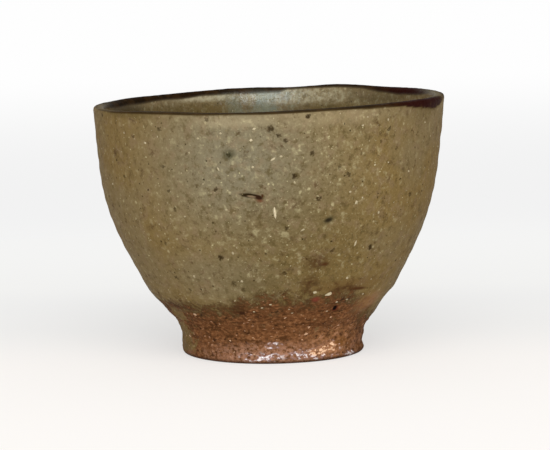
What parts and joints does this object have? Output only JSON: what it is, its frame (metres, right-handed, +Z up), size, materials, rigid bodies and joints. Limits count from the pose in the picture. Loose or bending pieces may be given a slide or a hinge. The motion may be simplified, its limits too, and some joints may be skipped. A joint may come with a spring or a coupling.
{
  "type": "tea cup",
  "caption": "Wide hand-thrown stoneware tea cup without a handle, speckled ash glaze, dark iron lip and a bare brown foot ring.",
  "frame": {"origin": "on the table under the middle of the cup, at the foot ring's flat tread", "axes": "+Z up through the open mouth, +X to the right and -Y to the front, as the cup is seen in the picture"},
  "size_m": [0.0948, 0.0952, 0.0693],
  "materials": {
    "bowl_clay": "matte",
    "foot_clay": "satin",
    "fillet_clay": "satin",
    "ash_glaze": "satin",
    "liner_glaze": "satin",
    "iron_wash": "satin"
  },
  "bodies": {
    "root": {"bowl": "bowl_clay", "foot_ring": "foot_clay", "foot_fillet": "fillet_clay", "outer_glaze": "ash_glaze", "inner_glaze": "liner_glaze", "lip_wash": "iron_wash"}
  },
  "joints": []
}
